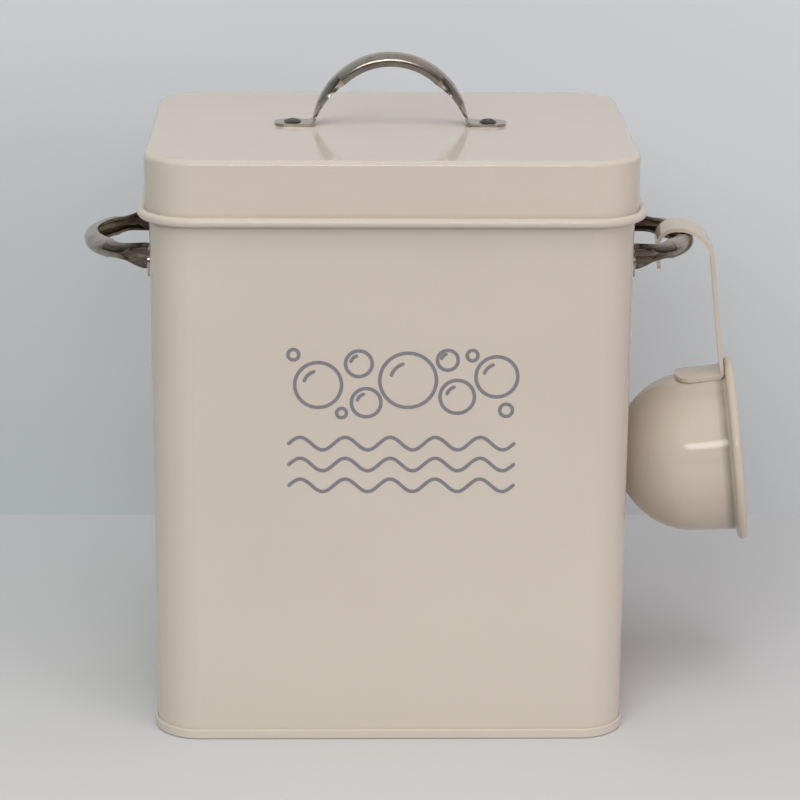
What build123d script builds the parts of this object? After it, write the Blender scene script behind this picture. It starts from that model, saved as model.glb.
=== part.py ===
from build123d import *

import os
from math import asin, atan2, cos, degrees, hypot, radians, sin, sqrt, tan

# A steel laundry powder box: a wrapped rectangular body with rounded corners, a seamed base,
# a lift-off lid with a rolled bead, three riveted strap handles and a scoop that hangs by its
# hooked strap on the right handle. Millimetres, X to the right, Y to the back, Z up, with the
# origin at the centre of the underside, where the box stands.

# Sheet and body
sheet = 0.5
body_width = 196.8
body_depth = 140.1
body_corner = 18.2
body_height = 247.8
mouth_hem = 6.0
hem_round = 0.42
lock_seam_width = 6.0
lock_seam_groove = 0.2

# Base, folded up round the lower edge of the body
seam_height = 4.2
seam_layers = 2
seam_gap = 0.1
seam_round = 0.8
seam_top_share = 0.45
base_recess = 3.2
recess_round = 0.9

# Lid
lid_gap = 1.1
lid_seat_gap = 0.3
lid_skirt = 24.6
lid_edge_round = 2.2
curl_radius = 1.9
curl_turn = 292

# Strap handles, stamped from strip. Their span is what the flat of a side wall has room for.
strap_thickness = 1.2
foot_clearance = 3.35
foot_width = 10.8
foot_length = 15.7
foot_corner = 4.0
foot_bend = 2.6
arch_drop = 2.1
channel_crest = 0.4
channel_bend = 3.05
channel_leg = 1.9
flat_until = 11.0
channel_from = 46.0
side_handle_drop = 24.0

# Rivets
rivet_setback = 7.5
shank_radius = 2.0
shank_gap = 0.1
head_radius = 3.6
head_height = 1.4
head_edge = 0.3
tail_radius = 3.0
tail_height = 1.2

# Scoop bowl
bowl_sheet = 0.6
bowl_depth = 54.2
dome_radius = 34.9
dome_angle = 55.0
shoulder_radius = 33.0
wall_flare = 3.0
neck_radius = 9.0
neck_turn = 32.0
rim_roll = 2.05
rim_turn = 320.0

# Scoop strap
hook_width = 19.0
hook_thickness = 1.6
hook_front = 14.1
hook_back = 6.6
hook_front_turn = 95.0
hook_end = 9.0
hook_reach = 86.6
hook_bend = 1.2
hook_corner = 2.5
strap_gap = 0.2
strap_foot = 20.8
strap_slope = 1.2
strap_corner = 7.0
weld_gap = 0.05
scoop_shift = 1.2
scoop_turn = -4.5
hook_offset = 2.6
hook_clearance = 0.2
wall_clearance = 0.3

# Places that follow from the sizes above
half_width = body_width / 2
half_depth = body_depth / 2
lid_width = body_width + 2 * (lid_gap + sheet)
lid_depth = body_depth + 2 * (lid_gap + sheet)
lid_corner = body_corner + lid_gap + sheet
lid_top = body_height + lid_seat_gap + sheet
curl_height = lid_top - lid_skirt
seam_stand = seam_gap + seam_layers * sheet
floor_top = base_recess + sheet
side_handle_height = curl_height - side_handle_drop
foot_tip = half_depth - body_corner - foot_clearance
arch_radius = foot_tip - foot_length
arch_rise = arch_radius - arch_drop
rivet_pitch = 2 * (foot_tip - rivet_setback)
rivet_grip = strap_thickness + sheet
channel_radius = channel_bend + strap_thickness / 2

# How a handle's strip closes from its flat foot into the channel, as it rises along the arch:
# share of the way, flat left on the crest, bend radius, turn of each side in degrees, and leg.
# It starts all but flat, with a lip along each side that takes up lip_share of the width.
lip_share = 0.19
lip_bend = 20.0
lip_turn = 2.0
lip_leg = foot_width * lip_share - lip_bend * sin(radians(lip_turn))
closing_stages = (
    (0, foot_width * (1 - 2 * lip_share), lip_bend, lip_turn, lip_leg),
    (1 / 4, foot_width * 0.36, channel_bend * 0.52, 48, channel_leg * 0.79),
    (1 / 2, foot_width * 0.1, channel_bend * 0.72, 72, channel_leg * 0.84),
    (1, channel_crest, channel_bend, 90, channel_leg),
)

lid_seat = Plane(origin=(0, 0, lid_top), x_dir=(1, 0, 0), z_dir=(0, 0, 1))
left_seat = Plane(origin=(-half_width, 0, side_handle_height), x_dir=(0, -1, 0), z_dir=(-1, 0, 0))
right_seat = Plane(origin=(half_width, 0, side_handle_height), x_dir=(0, 1, 0), z_dir=(1, 0, 0))


# Body wall: one sheet wrapped round, hemmed inwards at the mouth, locked in a flat seam that
# stands inside the back wall and shows outside as a fine groove
with BuildPart() as body_wall:
    wall_foot = sheet + seam_gap
    with BuildSketch(Plane.XY.offset(wall_foot)):
        RectangleRounded(body_width, body_depth, body_corner)
        offset(amount=-sheet, mode=Mode.SUBTRACT)
    extrude(amount=body_height - wall_foot)
    with BuildSketch(Plane.XY.offset(body_height - mouth_hem)):
        RectangleRounded(body_width, body_depth, body_corner)
        offset(amount=-2 * sheet, mode=Mode.SUBTRACT)
    extrude(amount=mouth_hem)
    fillet(body_wall.faces().sort_by(Axis.Z)[-1].edges(), radius=hem_round)
    seam_bottom = floor_top + seam_gap
    with BuildSketch(Plane.XY.offset(seam_bottom)):
        with Locations((0, half_depth - sheet - sheet / 2)):
            Rectangle(lock_seam_width, sheet)
    extrude(amount=body_height - mouth_hem - seam_bottom)
    with BuildSketch(Plane.XY.offset(wall_foot)):
        with Locations((lock_seam_width / 2, half_depth)):
            Rectangle(2 * lock_seam_groove, 2 * lock_seam_groove)
    extrude(amount=curl_height - wall_foot, mode=Mode.SUBTRACT)
    with BuildSketch(right_seat):
        with GridLocations(rivet_pitch, 0, 2, 1):
            Circle(shank_radius + shank_gap)
    extrude(amount=-body_width, mode=Mode.SUBTRACT)


# Base plate: a pressed floor set up from the ground, whose edge runs down inside the body wall,
# turns under it and comes up outside as the seam band that the box stands on
with BuildPart() as base_plate:
    with BuildSketch():
        RectangleRounded(
            body_width + 2 * seam_stand, body_depth + 2 * seam_stand, body_corner + seam_stand
        )
    extrude(amount=seam_height)
    fillet(base_plate.faces().sort_by(Axis.Z)[0].edges(), radius=seam_round)
    fillet(base_plate.faces().sort_by(Axis.Z)[-1].edges(), radius=seam_top_share * seam_layers * sheet)
    with BuildSketch(Plane.XY.offset(sheet)):
        RectangleRounded(body_width, body_depth, body_corner)
        offset(amount=seam_gap)
        with BuildSketch(mode=Mode.SUBTRACT):
            RectangleRounded(body_width, body_depth, body_corner)
            offset(amount=-(sheet + seam_gap), mode=Mode.REPLACE)
    extrude(amount=seam_height, mode=Mode.SUBTRACT)
    with BuildSketch(Plane.XY.offset(floor_top)):
        RectangleRounded(body_width, body_depth, body_corner)
    extrude(amount=seam_height, mode=Mode.SUBTRACT)
    with BuildSketch():
        RectangleRounded(body_width, body_depth, body_corner)
        offset(amount=-(2 * sheet + seam_gap), mode=Mode.REPLACE)
    extrude(amount=base_recess, mode=Mode.SUBTRACT)
    recess_edges = base_plate.edges().filter_by_position(
        Axis.Z, base_recess - seam_gap, base_recess + seam_gap
    )
    fillet(recess_edges, radius=recess_round)


# Lid: one pressing with a soft top edge, whose skirt ends in a curl rolled outwards and up,
# left open at its top like the edge of a drawn tin
with BuildPart() as lid:
    with BuildSketch(Plane.XY.offset(curl_height)):
        RectangleRounded(lid_width, lid_depth, lid_corner)
    extrude(amount=lid_skirt)
    fillet(lid.faces().sort_by(Axis.Z)[-1].edges(), radius=lid_edge_round)
    offset(amount=-sheet, openings=lid.faces().sort_by(Axis.Z)[0])
    with BuildSketch(lid_seat):
        with GridLocations(rivet_pitch, 0, 2, 1):
            Circle(shank_radius + shank_gap)
    extrude(amount=-2 * sheet, mode=Mode.SUBTRACT)
    with BuildSketch(Plane.XY.offset(curl_height), mode=Mode.PRIVATE) as skirt_outline:
        RectangleRounded(lid_width, lid_depth, lid_corner)
    curl_path = skirt_outline.sketch.face().outer_wire()
    curl_along = curl_path % 0
    curl_plane = Plane(
        origin=curl_path @ 0, x_dir=curl_along.cross(Vector(0, 0, 1)), z_dir=curl_along
    )
    with BuildSketch(curl_plane):
        with BuildLine():
            curl_middle = (curl_radius - sheet, 0)
            outside = CenterArc(curl_middle, curl_radius, 180, curl_turn)
            inside = CenterArc(curl_middle, curl_radius - sheet, 180, curl_turn)
            Line(outside @ 0, inside @ 0)
            Line(outside @ 1, inside @ 1)
        make_face()
    sweep(path=curl_path)


# The channel of a strap handle is the same strip as its flat feet, bent down along both sides.
# Each section is drawn with its crest on the arch and its legs towards the arch's centre.
def arch_plane(angle):
    outwards = Vector(cos(radians(angle)), 0, sin(radians(angle)))
    crest_point = Vector(0, 0, -arch_drop) + outwards * arch_radius
    along = Vector(sin(radians(angle)), 0, -cos(radians(angle)))
    return Plane(origin=crest_point, x_dir=(0, 1, 0), z_dir=along)


def channel_outline(crest, bend, turn, leg):
    outer_bend = bend + strap_thickness / 2
    inner_bend = bend - strap_thickness / 2
    for side in (1, -1):
        middle = (side * crest / 2, -outer_bend)
        outer = CenterArc(middle, outer_bend, 90, -side * turn)
        inner = CenterArc(middle, inner_bend, 90, -side * turn)
        down = Vector(side * cos(radians(turn)), -sin(radians(turn)))
        outer_leg = Line(outer @ 1, outer @ 1 + down * leg)
        inner_leg = Line(inner @ 1, inner @ 1 + down * leg)
        Line(outer_leg @ 1, inner_leg @ 1)
    Line((-crest / 2, 0), (crest / 2, 0))
    Line((-crest / 2, -strap_thickness), (crest / 2, -strap_thickness))


# Strap handle in its own frame: X along its span, Z away from the surface it is riveted to
with BuildPart() as strap_handle:
    neutral_radius = arch_radius - strap_thickness / 2
    bend_up = strap_thickness / 2 + foot_bend
    bend_out = sqrt((neutral_radius + foot_bend) ** 2 - (bend_up + arch_drop) ** 2)
    bend_angle = degrees(atan2(bend_up + arch_drop, bend_out))
    bend_middle = (bend_out, bend_up)
    arch_middle = Vector(0, -arch_drop)
    with BuildSketch(Plane.XZ):
        with BuildLine():
            for depth in (0, strap_thickness):
                level = strap_thickness - depth
                foot_line = Line((foot_tip, level), (bend_out, level))
                around = foot_bend - strap_thickness / 2 + depth
                CenterArc(bend_middle, around, 180 + bend_angle, 90 - bend_angle)
                CenterArc(arch_middle, arch_radius - depth, bend_angle, flat_until - bend_angle)
            Line((foot_tip, 0), (foot_tip, strap_thickness))
            flat_end = Vector(cos(radians(flat_until)), sin(radians(flat_until)))
            Line(
                arch_middle + flat_end * arch_radius,
                arch_middle + flat_end * (arch_radius - strap_thickness),
            )
        make_face()
    extrude(amount=foot_width / 2, both=True)
    tip_edges = strap_handle.edges().filter_by(Axis.Z).group_by(Axis.X)[-1]
    fillet(tip_edges, radius=foot_corner)

    for share, crest, bend, turn, leg in closing_stages:
        with BuildSketch(arch_plane(flat_until + share * (channel_from - flat_until))):
            with BuildLine():
                channel_outline(crest, bend, turn, leg)
            make_face()
    loft()

    with BuildSketch(arch_plane(channel_from)):
        with BuildLine():
            channel_outline(channel_crest, channel_bend, 90, channel_leg)
        make_face()
    arch_axis = Axis((0, 0, -arch_drop), (0, -1, 0))
    revolve(axis=arch_axis, revolution_arc=90 - channel_from)
    mirror(about=Plane.YZ)
    with BuildSketch(Plane.XY.offset(strap_thickness)):
        with GridLocations(rivet_pitch, 0, 2, 1):
            Circle(shank_radius + shank_gap)
    extrude(amount=-strap_thickness, mode=Mode.SUBTRACT)

handles = {}
for handle_name, seat in (
    ("lid_handle", lid_seat),
    ("left_handle", left_seat),
    ("right_handle", right_seat),
):
    with BuildPart() as placed_handle:
        with Locations(seat.location):
            add(strap_handle.part)
    handles[handle_name] = placed_handle.part


# A rivet is drawn on the seat it holds down: a low domed head on the handle's foot, a shank
# through foot and sheet, and a tail set flat inside
def make_rivet(seat, along):
    middle = seat.origin + seat.x_dir * along + seat.z_dir * strap_thickness
    section = Plane(origin=middle, x_dir=seat.x_dir, z_dir=-seat.y_dir)
    with BuildPart() as rivet:
        with BuildSketch(section):
            with BuildLine():
                Line((0, head_height), (0, -rivet_grip - tail_height))
                TangentArc((0, head_height), (head_radius, head_edge), tangent=(1, 0))
                Polyline(
                    (head_radius, head_edge),
                    (head_radius, 0),
                    (shank_radius, 0),
                    (shank_radius, -rivet_grip),
                    (tail_radius, -rivet_grip),
                    (tail_radius, -rivet_grip - head_edge),
                )
                TangentArc(
                    (0, -rivet_grip - tail_height),
                    (tail_radius, -rivet_grip - head_edge),
                    tangent=(1, 0),
                )
            make_face()
        revolve(axis=Axis(middle, seat.z_dir))
    return rivet.part


rivets = {
    "lid_rivet_left": make_rivet(lid_seat, -rivet_pitch / 2),
    "lid_rivet_right": make_rivet(lid_seat, rivet_pitch / 2),
    "left_rivet_front": make_rivet(left_seat, rivet_pitch / 2),
    "left_rivet_back": make_rivet(left_seat, -rivet_pitch / 2),
    "right_rivet_front": make_rivet(right_seat, -rivet_pitch / 2),
    "right_rivet_back": make_rivet(right_seat, rivet_pitch / 2),
}

# The scoop hangs with the front bend of its hook over the crest of the right handle, is turned a
# little about its strap, and tilts until the dome of its bowl leans on the box. In the scoop's own
# plane X runs along the bowl's axis towards the mouth and Y up the strap, from the middle of the
# mouth.
strap_face = -2 * rim_roll - strap_gap
hook_middle = Vector(strap_face - hook_thickness - hook_front, hook_reach)
bar_middle = half_width + arch_rise - channel_radius
bar_reach = hook_front - channel_radius - hook_clearance
hook_x = bar_middle - hook_offset
hook_z = side_handle_height + channel_crest / 2 - sqrt(bar_reach**2 - hook_offset**2)
twist = radians(scoop_turn)
dome_ahead = dome_radius - bowl_depth - hook_middle.X
lean = (half_width + wall_clearance + dome_radius - hook_x) / cos(twist)
tilt = asin(lean / hypot(dome_ahead, hook_reach)) - atan2(dome_ahead, hook_reach)
mouth_way = Vector(cos(tilt) * cos(twist), cos(tilt) * sin(twist), sin(tilt))
strap_way = Vector(-sin(tilt) * cos(twist), -sin(tilt) * sin(twist), cos(tilt))
mouth_middle = (
    Vector(hook_x, scoop_shift, hook_z) - mouth_way * hook_middle.X - strap_way * hook_middle.Y
)
scoop_plane = Plane(origin=mouth_middle, x_dir=mouth_way, z_dir=(sin(twist), -cos(twist), 0))
bowl_axis = Axis(mouth_middle, mouth_way)


# One side of the bowl's section: dome, shoulder, wall, the neck that flares out from the wall,
# and the rim, which rolls on outwards and back until its edge stands just clear of the neck
def bowl_side(inset):
    dome = JernArc((inset - bowl_depth, 0), (0, 1), dome_radius - inset, -dome_angle)
    shoulder_turn = 90 - wall_flare - dome_angle
    shoulder = JernArc(dome @ 1, dome % 1, shoulder_radius - inset, -shoulder_turn)
    neck_ahead = (neck_radius - rim_roll + bowl_sheet) * sin(radians(neck_turn))
    neck_start = neck_radius * sin(radians(wall_flare)) - neck_ahead - rim_roll
    wall_rise = inset * sin(radians(wall_flare))
    wall_run = (neck_start + wall_rise - (shoulder @ 1).X) / cos(radians(wall_flare))
    wall = Line(shoulder @ 1, shoulder @ 1 + (shoulder % 1) * wall_run)
    neck = JernArc(wall @ 1, wall % 1, neck_radius + inset, neck_turn - wall_flare)
    roll = JernArc(neck @ 1, neck % 1, rim_roll - bowl_sheet + inset, rim_turn - neck_turn)
    return dome, wall, roll


with BuildPart() as scoop_bowl:
    with BuildSketch(scoop_plane):
        with BuildLine():
            outer_dome, outer_wall, outer_roll = bowl_side(0)
            inner_dome, inner_wall, inner_roll = bowl_side(bowl_sheet)
            Line(outer_dome @ 0, inner_dome @ 0)
            Line(outer_roll @ 1, inner_roll @ 1)
        make_face()
    revolve(axis=bowl_axis)


# The strap's foot rests on the wall where it bends up into the limb, and stands off it further back
strap_bend = hook_bend + hook_thickness
foot_rise = tan(radians(strap_slope))
rest_place = strap_face - strap_bend - (outer_wall @ 1).X
rest_level = (outer_wall @ 1).Y + rest_place * tan(radians(wall_flare)) + weld_gap
foot_level = rest_level + foot_rise * strap_bend
limb_middle = (hook_reach + foot_level) / 2


# The line under or over the foot and up the limb, which run in the same way at any inset
def foot_side(inset, bend):
    level = foot_level + inset / cos(radians(strap_slope))
    end = (strap_face - strap_foot, level - foot_rise * strap_foot)
    corner = (strap_face - inset, level - foot_rise * inset)
    return FilletPolyline(end, corner, (strap_face - inset, limb_middle), radius=bend)


# One face of the hooked strap, from the top of its bend to the tip of the hook
def hook_side(inset):
    start = (strap_face - inset, foot_level + strap_bend)
    limb = Line(start, (strap_face - inset, hook_reach))
    reach = hook_thickness - inset
    front = JernArc(limb @ 1, (0, 1), hook_front + reach, hook_front_turn)
    back = JernArc(front @ 1, front % 1, hook_back + reach, 180 - hook_front_turn)
    end = Line(back @ 1, back @ 1 + Vector(0, -hook_end))
    return limb, end


# Strap of the scoop: its foot is curved across like the bowl and welded on, its limb stands up
# behind the rim, and its end is bent over as a hook
with BuildPart() as scoop_strap:
    with BuildSketch(scoop_plane):
        with BuildLine():
            under = foot_side(0, strap_bend)
            over = foot_side(hook_thickness, hook_bend)
            Line(under @ 0, over @ 0)
            Line(under @ 1, over @ 1)
        make_face()
    revolve(axis=bowl_axis)
    with BuildSketch(scoop_plane):
        with Locations((-bowl_depth / 2, hook_reach / 2)):
            Rectangle(bowl_depth, hook_reach)
    extrude(amount=hook_width / 2, both=True, mode=Mode.INTERSECT)
    with BuildSketch(scoop_plane):
        with BuildLine():
            outer_limb, outer_end = hook_side(0)
            inner_limb, inner_end = hook_side(hook_thickness)
            Line(outer_limb @ 0, inner_limb @ 0)
            Line(outer_end @ 1, inner_end @ 1)
        make_face()
    extrude(amount=hook_width / 2, both=True)
    across = 1.2 * hook_thickness
    end_corners = scoop_strap.edges().filter_by(lambda edge: edge.length < across).sort_by(Axis.Z)
    fillet(end_corners[:2], radius=strap_corner)
    end_corners = scoop_strap.edges().filter_by(lambda edge: edge.length < across).sort_by(Axis.Z)
    fillet(end_corners[-2:], radius=hook_corner)

pieces = {
    "body_wall": body_wall.part,
    "base_plate": base_plate.part,
    "lid": lid.part,
    "scoop_bowl": scoop_bowl.part,
    "scoop_strap": scoop_strap.part,
    **handles,
    **rivets,
}

os.makedirs("parts", exist_ok=True)
for piece_name, piece in pieces.items():
    piece.label = piece_name
    export_step(piece, f"parts/{piece_name}.step")
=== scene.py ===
import math

import bpy
from mathutils import Matrix, Vector


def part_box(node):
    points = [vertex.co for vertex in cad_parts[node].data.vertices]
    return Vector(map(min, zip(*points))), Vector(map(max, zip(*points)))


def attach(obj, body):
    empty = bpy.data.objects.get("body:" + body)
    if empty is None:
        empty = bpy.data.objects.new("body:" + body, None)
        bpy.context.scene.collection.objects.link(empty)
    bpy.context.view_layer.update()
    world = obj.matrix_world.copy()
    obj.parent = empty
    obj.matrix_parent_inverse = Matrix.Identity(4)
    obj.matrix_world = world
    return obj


# The looks of a cream enamelled laundry powder box with nickel strap handles and a hanging scoop:
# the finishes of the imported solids, the print on its front, the floor, the lamps and the camera.
# Metres, X to the right, Y to the back, Z up.

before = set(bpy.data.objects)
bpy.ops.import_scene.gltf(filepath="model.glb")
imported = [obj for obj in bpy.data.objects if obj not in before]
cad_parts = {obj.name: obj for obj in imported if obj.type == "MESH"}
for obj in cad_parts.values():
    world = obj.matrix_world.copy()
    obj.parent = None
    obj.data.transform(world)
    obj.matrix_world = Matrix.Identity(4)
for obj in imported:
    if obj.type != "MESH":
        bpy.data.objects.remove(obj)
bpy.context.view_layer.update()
millimetre = 0.001

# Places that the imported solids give
wall_low, wall_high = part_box("body_wall")
_, lid_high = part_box("lid")
left_low, left_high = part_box("left_handle")
right_low, right_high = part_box("right_handle")

# Handles, as the solids have them: how far the middle of the arch lies inside its seat, how far out
# the strip's edge and the flat of the foot begin, the turns over which the crease comes in, and the
# V-shaped notch: its point, the spread of its arms and the turn over which it steps down
arch_drop = 2.1 * millimetre
arch_edge = 33.3 * millimetre
left_handle_height = (left_low.z + left_high.z) / 2
right_handle_height = (right_low.z + right_high.z) / 2
foot_flat = 37.0 * millimetre
crease_from = math.radians(42)
crease_full = math.radians(66)
notch_point = math.radians(62)
notch_spread = 34.0
notch_step = 0.045

# Scoop, as the solids have it: the middle of its mouth, the way the mouth faces, and its neck,
# where painted shade darkens the coat
mouth_middle = Vector((152.71, -1.15, 106.61)) * millimetre
mouth_way = Vector((0.9901, -0.0779, 0.1165))
neck_from = -9.0 * millimetre
neck_deepest = -5.6 * millimetre
neck_end = -4.0 * millimetre

# Camera
camera_at = Vector((-0.02379, -1.17657, 0.49478))
camera_pitch = math.radians(17.332)
camera_yaw = math.radians(1.400)
camera_roll = math.radians(0.449)
camera_lens = 128.39
camera_sensor = 36.0

# Surroundings
floor_drop = 0.1 * millimetre
# Painted shade: from here to the backdrop the floor darkens towards its back colour, as the lamps'
# light falls off
floor_shade_from = -0.20
backdrop_y = 0.210
room_reach = 1.5
room_height = 0.75
floor_front_colour = (0.665, 0.655, 0.655, 1)
floor_back_shade_colour = (0.570, 0.575, 0.590, 1)
floor_far_colour = (0.300, 0.295, 0.295, 1)
floor_far_from = -0.75
floor_far_to = -1.25
mottle_scale = 6.0
mottle_share = 0.06
floor_rough = 0.7
# Painted light: the backdrop pales from its shaded colour to its lit colour towards the top, nearer
# the lamps above
backdrop_light_fade = (0.05, 0.36)
backdrop_rough = 0.8
backdrop_shaded_colour = (0.620, 0.650, 0.670, 1)
backdrop_lit_colour = (0.745, 0.770, 0.820, 1)
# How far the world's direction runs up, to the right and to the back as its colours change
world_climb = (0.10, 0.80)
world_across = (-0.8, 0.8)
world_rear = (0.1, 0.7)
world_low_colour = (0.06, 0.06, 0.06, 1)
world_left_colour = (0.475, 0.530, 0.520, 1)
world_right_colour = (0.570, 0.510, 0.520, 1)
world_rear_colour = (0.480, 0.480, 0.480, 1)
world_shown_colour = (0.56, 0.58, 0.60, 1)

# Lamps: place, width, height, power in watts, colour and whether glossy surfaces show it
lamp_aim = Vector((0, 0, 0.12))
lamps = (
    ("key", (-0.55, -1.45, 1.35), 1.0, 1.0, 8.5, (0.95, 1.0, 0.975), False),
    ("overhead", (0.0, -0.60, 1.80), 1.2, 1.2, 9.8, (1.0, 0.99, 0.98), False),
    ("fill", (1.35, -1.30, 0.60), 1.0, 1.0, 8.0, (1.0, 0.90, 0.92), False),
    ("catchlight", (-0.05, -1.48, 0.80), 0.7, 0.3, 3.3, (1.0, 1.0, 0.98), True),
)

# Colours of the object, linear
# The second colour is paler: the random tone and the painted light from the floor's bounce move
# towards it
cream_colours = ((0.594, 0.521, 0.450, 1), (0.645, 0.580, 0.496, 1))
scoop_colours = ((0.565, 0.480, 0.390, 1), (0.600, 0.535, 0.445, 1))
speck_colour = (0.235, 0.180, 0.135, 1)
# Painted shade in the dip of the scoop's neck
neck_shade_colour = (0.190, 0.178, 0.118, 1)
# The darker nickel colour serves the stain, the streaks and the painted shade in the folds
nickel_colours = ((0.530, 0.482, 0.418, 1), (0.125, 0.100, 0.077, 1))
rivet_colours = ((0.200, 0.185, 0.170, 1), (0.080, 0.070, 0.060, 1))
print_colours = ((0.195, 0.190, 0.215, 1), (0.225, 0.222, 0.245, 1))

# Span of a noise pattern's values, most of it and its middle
noise_span = (0.2, 0.8)
noise_middle = (0.3, 0.7)

# Enamel: how fine each pattern is, per metre, how far it moves the tone, and the heights of relief
tone_scale = 9.0
tone_shift = (-0.1, 0.6)
grain_scale = 1400.0
grain_shift = (-0.15, 0.15)
# Painted light: the coat is paler towards the floor, up to this height, for the light that the
# floor bounces up
painted_bounce_height = 0.170
painted_bounce_shift = 0.9
speck_scale = 75.0
speck_rarity = 0.72
speck_reach = 0.030
speck_edge = 0.012
speck_share = 0.62
speck_depth = 0.05 * millimetre
patch_scale = 60.0
patch_share = (0.45, 0.85)
smear_scale = 30.0
enamel_rough = (0.08, 0.14)
enamel_ior = 1.5
wave_scale = 55.0
box_wave = 0.04 * millimetre
scoop_wave = 0.45 * millimetre
peel_scale = 420.0
peel_height = 0.004 * millimetre

# Nickel plate: brushed streaks, folds and stain, with painted shade and dark reflection darkening
# the folds towards the feet. A pair of edges says where a pattern begins and where it is full. The
# streaks' pattern runs streak_length on for each radian of the arch.
streak_length = 1.3 * millimetre
streak_scale = 1500.0
streak_edges = (0.46, 0.62)
streak_share = 0.16
streak_height = 0.010 * millimetre
fold_scale = 900.0
# Painted shade and dark reflection: between these edges of the fold pattern the folds towards the
# feet are darkened, by at least this share
fold_shade_edges = (0.40, 0.60)
fold_shade_least = 0.55
fold_height = 0.20 * millimetre
notch_height = 0.50 * millimetre
stain_scale = 160.0
stain_edges = (0.42, 0.75)
dull_least = 0.16
dull_most = 0.30
plate_rough = (0.15, 0.27)
# How much each handle has stain, and how much its folds take painted shade and dark reflection
lid_handle_stain_and_shade = 0.15
side_handle_stain_and_shade = 1.0

# Rivets and ink
struck_scale = 420.0
struck_edges = (0.4, 0.65)
rivet_rough = (0.30, 0.48)
mark_scale = 1100.0
mark_height = 0.02 * millimetre
ink_scale = 600.0
ink_rough = (0.42, 0.55)
ink_height = 0.004 * millimetre

# Print on the front: soap bubbles over wash waves, in millimetres from the middle of the print
print_middle = (4.0, 140.2)
print_stroke = 1.5
print_proud = 0.05
print_sunk = 0.03
bubbles = (
    (-34.0, 15.5, 9.5),
    (-17.5, 24.5, 5.4),
    (-14.5, 8.0, 6.0),
    (2.5, 17.5, 11.5),
    (18.5, 26.0, 4.2),
    (22.5, 10.5, 7.0),
    (38.5, 19.0, 8.5),
    (-24.5, 3.6, 2.0),
    (-44.0, 28.3, 2.2),
    (28.5, 28.0, 2.2),
    (42.5, 4.8, 2.6),
)
shine_share = 0.62
shine_from = 108
shine_to = 162
smallest_shining = 4.0
ring_steps = 72
waves = (-9.5, -18.5, -27.5)
wave_reach = 46.0
wave_count = 5
wave_rise = 2.7
wave_steps = 200
cap_steps = 8


# Materials

def add_node(tree, kind, settings=(), inputs=()):
    """A node with its settings and inputs. An input is a value or the socket to link from."""
    made = tree.nodes.new(kind)
    for name, value in dict(settings).items():
        setattr(made, name, value)
    for name, value in dict(inputs).items():
        if isinstance(value, bpy.types.NodeSocket):
            tree.links.new(value, made.inputs[name])
        else:
            made.inputs[name].default_value = value
    return made


def new_material(name):
    """A material with only its Principled shader, and that shader."""
    material = bpy.data.materials.new(name)
    material.use_nodes = True
    return material, material.node_tree, material.node_tree.nodes["Principled BSDF"]


def object_coords(tree):
    return add_node(tree, "ShaderNodeTexCoord").outputs["Object"]


def noise(tree, vector, scale, detail=2.0, roughness=0.5):
    made = add_node(
        tree,
        "ShaderNodeTexNoise",
        inputs={"Vector": vector, "Scale": scale, "Detail": detail, "Roughness": roughness},
    )
    return made.outputs["Fac"]


def remap(tree, value, low, high, to_low, to_high):
    made = add_node(
        tree,
        "ShaderNodeMapRange",
        inputs={
            "Value": value,
            "From Min": low,
            "From Max": high,
            "To Min": to_low,
            "To Max": to_high,
        },
    )
    return made.outputs["Result"]


def maths(tree, operation, first, second=0.0):
    made = add_node(tree, "ShaderNodeMath", {"operation": operation}, {0: first, 1: second})
    return made.outputs[0]


def mix_colour(tree, share, first, second):
    made = add_node(
        tree,
        "ShaderNodeMix",
        {"data_type": "RGBA"},
        {"Factor": share, 6: first, 7: second},
    )
    return made.outputs[2]


def bump(tree, height, distance, strength=1.0, before=None):
    inputs = {"Height": height, "Distance": distance, "Strength": strength}
    if before is not None:
        inputs["Normal"] = before
    return add_node(tree, "ShaderNodeBump", inputs=inputs).outputs["Normal"]


def reach_along(tree, coords, centre, way):
    """How far a place lies from a centre along a direction."""
    out = add_node(
        tree, "ShaderNodeVectorMath", {"operation": "SUBTRACT"}, {0: coords, 1: centre}
    )
    return add_node(
        tree, "ShaderNodeVectorMath", {"operation": "DOT_PRODUCT"}, {0: out.outputs[0], 1: way}
    ).outputs[1]


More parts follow.
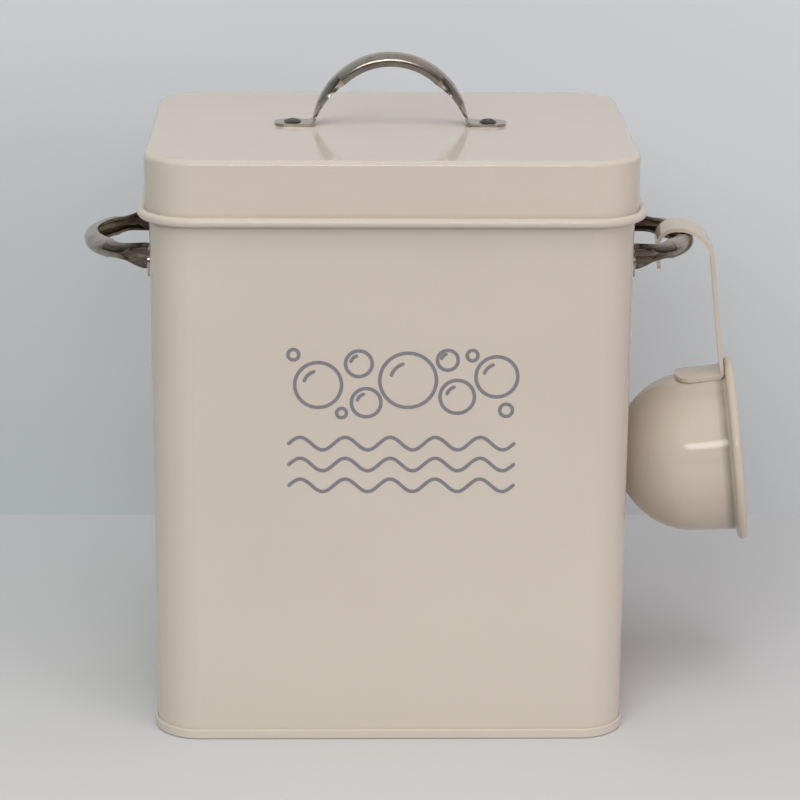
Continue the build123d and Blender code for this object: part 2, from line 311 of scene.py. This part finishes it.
def enamel(name, colours, speck_seed, wave=0.0, shade_the_neck=False):
    """Glossy powder coat over a slightly uneven sheet: fine orange peel, a slow change of tone,
    painted light that makes it paler towards the floor, where the floor's bounce would light it,
    and a few dark specks. On the scoop's bowl, painted shade also darkens the dip of its neck under
    the rolled rim."""
    material, tree, shader = new_material(name)
    coords = object_coords(tree)
    tone = remap(tree, noise(tree, coords, tone_scale), *noise_span, *tone_shift)
    grain = remap(tree, noise(tree, coords, grain_scale, 1.0), *noise_span, *grain_shift)
    height = add_node(tree, "ShaderNodeSeparateXYZ", inputs={0: coords}).outputs[2]
    # Painted light: paler towards the floor, for the light that the floor bounces up
    low = remap(tree, height, 0.0, painted_bounce_height, painted_bounce_shift, 0.0)
    share = maths(tree, "ADD", maths(tree, "ADD", tone, grain), low)
    colour = mix_colour(tree, share, *colours)

    moved = add_node(
        tree, "ShaderNodeVectorMath", {"operation": "ADD"}, {0: coords, 1: speck_seed}
    ).outputs[0]
    cells = add_node(tree, "ShaderNodeTexVoronoi", inputs={"Vector": moved, "Scale": speck_scale})
    size = add_node(tree, "ShaderNodeSeparateColor", inputs={0: cells.outputs["Color"]})
    reach = remap(tree, size.outputs[0], speck_rarity, 1.0, 0.0, speck_reach)
    inside = maths(tree, "SUBTRACT", reach, cells.outputs["Distance"])
    speck = remap(tree, inside, 0.0, speck_edge, 0.0, speck_share)
    colour = mix_colour(tree, speck, colour, speck_colour)
    # Painted shade: the coat darkens in patches in the dip of the neck, under the rolled rim
    if shade_the_neck:
        depth = reach_along(tree, coords, mouth_middle, mouth_way)
        painted_neck_shade = maths(
            tree,
            "MINIMUM",
            remap(tree, depth, neck_from, neck_deepest, 0.0, 1.0),
            remap(tree, depth, neck_deepest, neck_end, 1.0, 0.0),
        )
        patchy = remap(tree, noise(tree, coords, patch_scale), *noise_middle, *patch_share)
        colour = mix_colour(tree, maths(tree, "MULTIPLY", painted_neck_shade, patchy), colour, neck_shade_colour)
    tree.links.new(colour, shader.inputs["Base Color"])

    smear = noise(tree, coords, smear_scale)
    rough = remap(tree, smear, *noise_span, *enamel_rough)
    tree.links.new(rough, shader.inputs["Roughness"])
    uneven = bump(tree, noise(tree, coords, wave_scale, 0.0), wave)
    peel = noise(tree, coords, peel_scale, 1.0)
    relief = bump(tree, peel, peel_height, before=uneven)
    dent = bump(tree, maths(tree, "MULTIPLY", speck, -1.0), speck_depth, before=relief)
    tree.links.new(dent, shader.inputs["Normal"])
    shader.inputs["IOR"].default_value = enamel_ior
    return material


def plated(name, centre, outwards, across, stain_and_shade):
    """Nickel plate on a strip bent round a centre into an arch that rises along outwards, with its
    width along across. It is brushed along the strip, and creased and marked with stain towards the
    feet, where the strip was squeezed from flat into a channel. Painted shade and dark reflection
    darken its folds there as well."""
    material, tree, shader = new_material(name)
    coords = object_coords(tree)
    rise = reach_along(tree, coords, centre, outwards)
    span = reach_along(tree, coords, centre, Vector(outwards).cross(Vector(across)))
    width = reach_along(tree, coords, centre, across)
    turn = maths(tree, "ARCTAN2", span, rise)
    squared = maths(
        tree, "ADD", maths(tree, "MULTIPLY", rise, rise), maths(tree, "MULTIPLY", span, span)
    )
    radius = maths(tree, "MINIMUM", maths(tree, "SQRT", squared), arch_edge)
    along = maths(tree, "MULTIPLY", turn, streak_length)
    strip = add_node(
        tree, "ShaderNodeCombineXYZ", inputs={0: along, 1: radius, 2: width}
    ).outputs[0]
    foot = remap(tree, maths(tree, "ABSOLUTE", turn), crease_from, crease_full, 0.0, 1.0)
    off_foot = remap(tree, maths(tree, "SQRT", squared), arch_edge, foot_flat, 1.0, 0.0)
    crease = maths(tree, "MULTIPLY", foot, off_foot)

    streaks = noise(tree, strip, streak_scale, 4.0, 0.65)
    folds = noise(tree, strip, fold_scale, 2.0)
    stain = noise(tree, coords, stain_scale, 4.0, 0.6)
    # Painted shade and dark reflection in the folds towards the feet, in the base colour
    fold_shade_tone = remap(tree, folds, *fold_shade_edges, fold_shade_least * stain_and_shade, stain_and_shade)
    painted_fold_shade = maths(tree, "MULTIPLY", crease, fold_shade_tone)
    lines = remap(tree, streaks, *streak_edges, 0.0, streak_share)
    dull = remap(
        tree, stain, *stain_edges, dull_least * stain_and_shade, dull_most + dull_most * stain_and_shade
    )
    worn = maths(tree, "ADD", dull, lines)
    share = maths(tree, "ADD", worn, painted_fold_shade)
    tree.links.new(mix_colour(tree, share, *nickel_colours), shader.inputs["Base Color"])
    shine = remap(tree, streaks, *noise_middle, *plate_rough)
    tree.links.new(shine, shader.inputs["Roughness"])
    ridges = bump(tree, streaks, streak_height)
    height = maths(tree, "MULTIPLY", crease, folds)
    creased = bump(tree, height, fold_height, before=ridges)
    arms = maths(tree, "MULTIPLY", maths(tree, "ABSOLUTE", width), notch_spread)
    past = maths(tree, "SUBTRACT", maths(tree, "ABSOLUTE", turn), arms)
    notch = remap(tree, past, notch_point, notch_point + notch_step, 1.0, 0.0)
    notched = bump(
        tree, maths(tree, "MULTIPLY", notch, off_foot), notch_height, before=creased
    )
    tree.links.new(notched, shader.inputs["Normal"])
    shader.inputs["Metallic"].default_value = 1.0
    return material


def rivet_metal(name):
    """Dull plated rivet, darker where it was struck."""
    material, tree, shader = new_material(name)
    coords = object_coords(tree)
    stain = remap(tree, noise(tree, coords, struck_scale, 4.0, 0.6), *struck_edges, 0.0, 1.0)
    tree.links.new(mix_colour(tree, stain, *rivet_colours), shader.inputs["Base Color"])
    tree.links.new(remap(tree, stain, 0.0, 1.0, *rivet_rough), shader.inputs["Roughness"])
    marks = noise(tree, coords, mark_scale, 3.0)
    tree.links.new(bump(tree, marks, mark_height), shader.inputs["Normal"])
    shader.inputs["Metallic"].default_value = 1.0
    return material


def print_ink(name):
    """Matt grey printing ink with an uneven, slightly worn tone."""
    material, tree, shader = new_material(name)
    coords = object_coords(tree)
    tone = remap(tree, noise(tree, coords, ink_scale, 3.0), *noise_middle, 0.0, 1.0)
    tree.links.new(mix_colour(tree, tone, *print_colours), shader.inputs["Base Color"])
    tree.links.new(remap(tree, tone, 0.0, 1.0, *ink_rough), shader.inputs["Roughness"])
    tree.links.new(bump(tree, tone, ink_height), shader.inputs["Normal"])
    return material


def assign(material, *node_names):
    for node_name in node_names:
        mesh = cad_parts[node_name].data
        mesh.materials.clear()
        mesh.materials.append(material)


box_coat = enamel("cream_enamel_box", cream_colours, (0.0, 0.0, 0.0), box_wave)
lid_coat = enamel("cream_enamel_lid", cream_colours, (0.31, 0.17, 0.05), box_wave)
# The scoop's bowl carries painted shade in its neck
bowl_coat = enamel("cream_enamel_scoop", scoop_colours, (0.11, 0.43, 0.29), scoop_wave, True)
strap_coat = enamel("cream_enamel_strap", scoop_colours, (0.23, 0.37, 0.41), box_wave)
assign(box_coat, "body_wall", "base_plate")
assign(lid_coat, "lid")
assign(bowl_coat, "scoop_bowl")
assign(strap_coat, "scoop_strap")
lid_arch = (0, 0, lid_high.z - arch_drop)
left_arch = (wall_low.x + arch_drop, 0, left_handle_height)
right_arch = (wall_high.x - arch_drop, 0, right_handle_height)
for node_name, centre, outwards, across, stain_and_shade in (
    ("lid_handle", lid_arch, (0, 0, 1), (0, 1, 0), lid_handle_stain_and_shade),
    ("left_handle", left_arch, (-1, 0, 0), (0, 0, 1), side_handle_stain_and_shade),
    ("right_handle", right_arch, (1, 0, 0), (0, 0, 1), side_handle_stain_and_shade),
):
    assign(plated("nickel_" + node_name, centre, outwards, across, stain_and_shade), node_name)
assign(
    rivet_metal("nickel_rivet"),
    "lid_rivet_left",
    "lid_rivet_right",
    "left_rivet_front",
    "left_rivet_back",
    "right_rivet_front",
    "right_rivet_back",
)


# Print, as thin raised strokes of ink on the front wall

def stroke_mesh(name, strokes):
    """One mesh of flat strokes. A stroke is its points in millimetres and whether it is closed."""
    front = wall_low.y - print_proud * millimetre
    back = wall_low.y + print_sunk * millimetre
    vertices, faces = [], []

    def add_point(across, height):
        x = (print_middle[0] + across) * millimetre
        z = (print_middle[1] + height) * millimetre
        vertices.extend(((x, front, z), (x, back, z)))
        return len(vertices) - 2

    for points, closed in strokes:
        count = len(points)
        left, right = [], []
        for i, point in enumerate(points):
            before = points[i - 1] if closed or i else point
            after = points[(i + 1) % count] if closed or i < count - 1 else point
            along = Vector((after[0] - before[0], after[1] - before[1])).normalized()
            side = Vector((-along.y, along.x)) * print_stroke / 2
            left.append(add_point(point[0] + side.x, point[1] + side.y))
            right.append(add_point(point[0] - side.x, point[1] - side.y))
        for i in range(count if closed else count - 1):
            j = (i + 1) % count
            a, b, c, d = left[i], left[j], right[j], right[i]
            faces.append((a, d, c, b))
            faces.append((a + 1, b + 1, c + 1, d + 1))
            faces.append((a, b, b + 1, a + 1))
            faces.append((d, d + 1, c + 1, c))
        if not closed:
            for end, first, last in (
                (points[0], left[0], right[0]),
                (points[-1], right[-1], left[-1]),
            ):
                start = Vector(
                    (
                        vertices[first][0] / millimetre - print_middle[0] - end[0],
                        vertices[first][2] / millimetre - print_middle[1] - end[1],
                    )
                )
                rim = [first]
                for step in range(1, cap_steps):
                    turn = math.pi * step / cap_steps
                    x = start.x * math.cos(turn) - start.y * math.sin(turn)
                    z = start.x * math.sin(turn) + start.y * math.cos(turn)
                    rim.append(add_point(end[0] + x, end[1] + z))
                rim.append(last)
                faces.append(tuple(rim))
                faces.append(tuple(p + 1 for p in reversed(rim)))
                for a, b in zip(rim, rim[1:]):
                    faces.append((a, a + 1, b + 1, b))
    mesh = bpy.data.meshes.new(name)
    mesh.from_pydata(vertices, [], faces)
    mesh.validate()
    piece = bpy.data.objects.new(name, mesh)
    bpy.context.scene.collection.objects.link(piece)
    return piece


def circle_points(x, z, radius, start, end, steps):
    turns = [math.radians(start + (end - start) * i / steps) for i in range(steps + 1)]
    return [(x + radius * math.cos(t), z + radius * math.sin(t)) for t in turns]


bubble_strokes = []
for x, z, radius in bubbles:
    bubble_strokes.append((circle_points(x, z, radius, 0, 360, ring_steps)[:-1], True))
    if radius > smallest_shining:
        shine = circle_points(x, z, radius * shine_share, shine_from, shine_to, ring_steps // 4)
        bubble_strokes.append((shine, False))

wave_strokes = []
for height in waves:
    line = []
    for i in range(wave_steps + 1):
        share = i / wave_steps
        x = wave_reach * (2 * share - 1)
        line.append((x, height + wave_rise * math.sin(2 * math.pi * wave_count * share)))
    wave_strokes.append((line, False))

ink = print_ink("grey_print_ink")
for name, strokes in (("print_bubbles", bubble_strokes), ("print_waves", wave_strokes)):
    printed = stroke_mesh(name, strokes)
    printed.data.materials.append(ink)
    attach(printed, "box")


# Surroundings

def add_plane(name, corners, material):
    mesh = bpy.data.meshes.new(name)
    mesh.from_pydata(corners, [], [(0, 1, 2, 3)])
    mesh.materials.append(material)
    plane = bpy.data.objects.new(name, mesh)
    bpy.context.scene.collection.objects.link(plane)
    return plane


def floor_material():
    """Pale matt card with a faint mottle, darkened towards the back by painted shade where the
    lamps' light falls off, and dark close under the lamps, which would burn it out there. It isn't
    there for rays from below."""
    material, tree, shader = new_material("floor_card")
    coords = object_coords(tree)
    depth = add_node(tree, "ShaderNodeSeparateXYZ", inputs={0: coords}).outputs[1]
    # Painted shade: darker towards the back, where the light falls off
    back = remap(tree, depth, floor_shade_from, backdrop_y, 0.0, 1.0)
    mottle = remap(
        tree, noise(tree, coords, mottle_scale), *noise_span, -mottle_share, mottle_share
    )
    colour = mix_colour(
        tree, maths(tree, "ADD", back, mottle), floor_front_colour, floor_back_shade_colour
    )
    near = remap(tree, depth, floor_far_to, floor_far_from, 0.0, 1.0)
    colour = mix_colour(tree, near, floor_far_colour, colour)
    tree.links.new(colour, shader.inputs["Base Color"])
    shader.inputs["Roughness"].default_value = floor_rough
    see_through_behind(tree, shader)
    return material


def backdrop_material():
    """Bluish grey card, paler towards the top by painted light from the lamps above. It isn't there
    for rays from behind.
    """
    material, tree, shader = new_material("backdrop_card")
    coords = object_coords(tree)
    height = add_node(tree, "ShaderNodeSeparateXYZ", inputs={0: coords}).outputs[2]
    # Painted light: paler towards the top
    share = remap(tree, height, *backdrop_light_fade, 0.0, 1.0)
    colour = mix_colour(tree, share, backdrop_shaded_colour, backdrop_lit_colour)
    tree.links.new(colour, shader.inputs["Base Color"])
    shader.inputs["Roughness"].default_value = backdrop_rough
    see_through_behind(tree, shader)
    return material


def see_through_behind(tree, shader):
    """Makes a card clear for rays that meet its back, so that no view is shut off by it."""
    clear = add_node(tree, "ShaderNodeBsdfTransparent")
    facing = add_node(tree, "ShaderNodeNewGeometry").outputs["Backfacing"]
    both = add_node(
        tree, "ShaderNodeMixShader", inputs={0: facing, 1: shader.outputs[0], 2: clear.outputs[0]}
    )
    tree.links.new(both.outputs[0], tree.nodes["Material Output"].inputs["Surface"])


floor_corners = [
    (-room_reach, -room_reach, -floor_drop),
    (room_reach, -room_reach, -floor_drop),
    (room_reach, backdrop_y, -floor_drop),
    (-room_reach, backdrop_y, -floor_drop),
]
backdrop_corners = [
    (-room_reach, backdrop_y, -floor_drop),
    (room_reach, backdrop_y, -floor_drop),
    (room_reach, backdrop_y, room_height),
    (-room_reach, backdrop_y, room_height),
]
add_plane("floor", floor_corners, floor_material())
backdrop = add_plane("backdrop", backdrop_corners, backdrop_material())
backdrop.visible_diffuse = False
backdrop.visible_shadow = False

world = bpy.data.worlds.new("studio")
bpy.context.scene.world = world
world.use_nodes = True
sky = world.node_tree
background = sky.nodes["Background"]
direction = add_node(sky, "ShaderNodeTexCoord").outputs["Generated"]
way = add_node(sky, "ShaderNodeSeparateXYZ", inputs={0: direction})
rightward = remap(sky, way.outputs[0], *world_across, 0.0, 1.0)
rearward = remap(sky, way.outputs[1], *world_rear, 0.0, 1.0)
brightness = remap(sky, way.outputs[2], *world_climb, 0.0, 1.0)
above = mix_colour(sky, rightward, world_left_colour, world_right_colour)
ahead = mix_colour(sky, brightness, world_low_colour, above)
lit = mix_colour(sky, rearward, ahead, world_rear_colour)
seen = add_node(sky, "ShaderNodeLightPath").outputs["Is Camera Ray"]
sky.links.new(mix_colour(sky, seen, lit, world_shown_colour), background.inputs["Color"])

for name, place, across, tall, power, colour, shown in lamps:
    lamp = bpy.data.lights.new(name, "AREA")
    lamp.shape = "ELLIPSE"
    lamp.size = across
    lamp.size_y = tall
    lamp.energy = power
    lamp.color = colour
    lamp_object = bpy.data.objects.new(name, lamp)
    lamp_object.location = place
    lamp_object.rotation_euler = (lamp_aim - Vector(place)).to_track_quat("-Z", "Y").to_euler()
    lamp_object.visible_camera = False
    lamp_object.visible_glossy = shown
    bpy.context.scene.collection.objects.link(lamp_object)

bpy.context.scene.view_settings.view_transform = "Standard"

# Camera
forward = Vector(
    (
        math.sin(camera_yaw) * math.cos(camera_pitch),
        math.cos(camera_yaw) * math.cos(camera_pitch),
        -math.sin(camera_pitch),
    )
)
level = Vector((math.cos(camera_yaw), -math.sin(camera_yaw), 0))
upright = level.cross(forward)
camera_right = level * math.cos(camera_roll) + upright * math.sin(camera_roll)
camera_up = upright * math.cos(camera_roll) - level * math.sin(camera_roll)
camera_turn = Matrix((camera_right, camera_up, -forward)).transposed()
camera = bpy.data.cameras.new("camera")
camera.lens = camera_lens
camera.sensor_width = camera_sensor
camera_object = bpy.data.objects.new("camera", camera)
camera_object.matrix_world = Matrix.Translation(camera_at) @ camera_turn.to_4x4()
bpy.context.scene.collection.objects.link(camera_object)
bpy.context.scene.camera = camera_object
